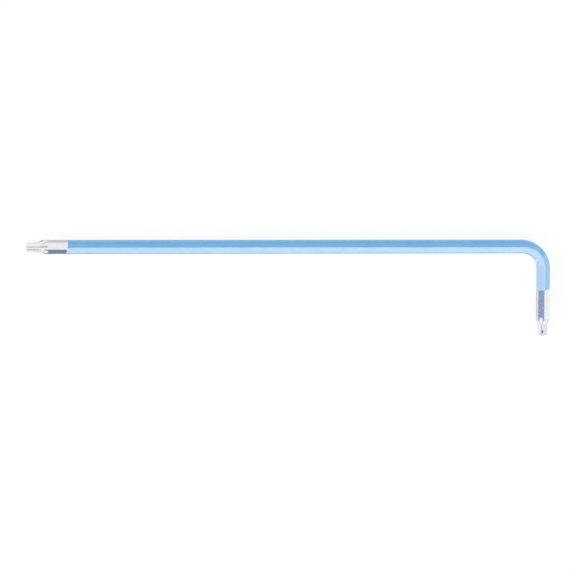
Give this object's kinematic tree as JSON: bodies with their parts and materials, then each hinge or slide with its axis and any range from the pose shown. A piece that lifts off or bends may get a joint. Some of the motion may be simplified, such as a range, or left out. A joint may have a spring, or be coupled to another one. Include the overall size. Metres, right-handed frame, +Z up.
{
  "type": "star key",
  "caption": "L-shaped star key of bent hexagonal steel bar, with a bare star tip on each end and a light blue powder coat between them, for driving star-recess screws.",
  "frame": {"origin": "middle of the key's footprint, on the surface that it lies on", "axes": "+Z up from that surface, +X along the long arm towards the bend, the short arm points to -Y"},
  "size_m": [0.1309, 0.0248, 0.0035],
  "materials": {
    "plated_steel": "satin nickel-chrome plating",
    "blue_coat": "semi-gloss powder coat"
  },
  "bodies": {
    "root": {"steel_key": "plated_steel", "colour_coat": "blue_coat"}
  },
  "joints": []
}
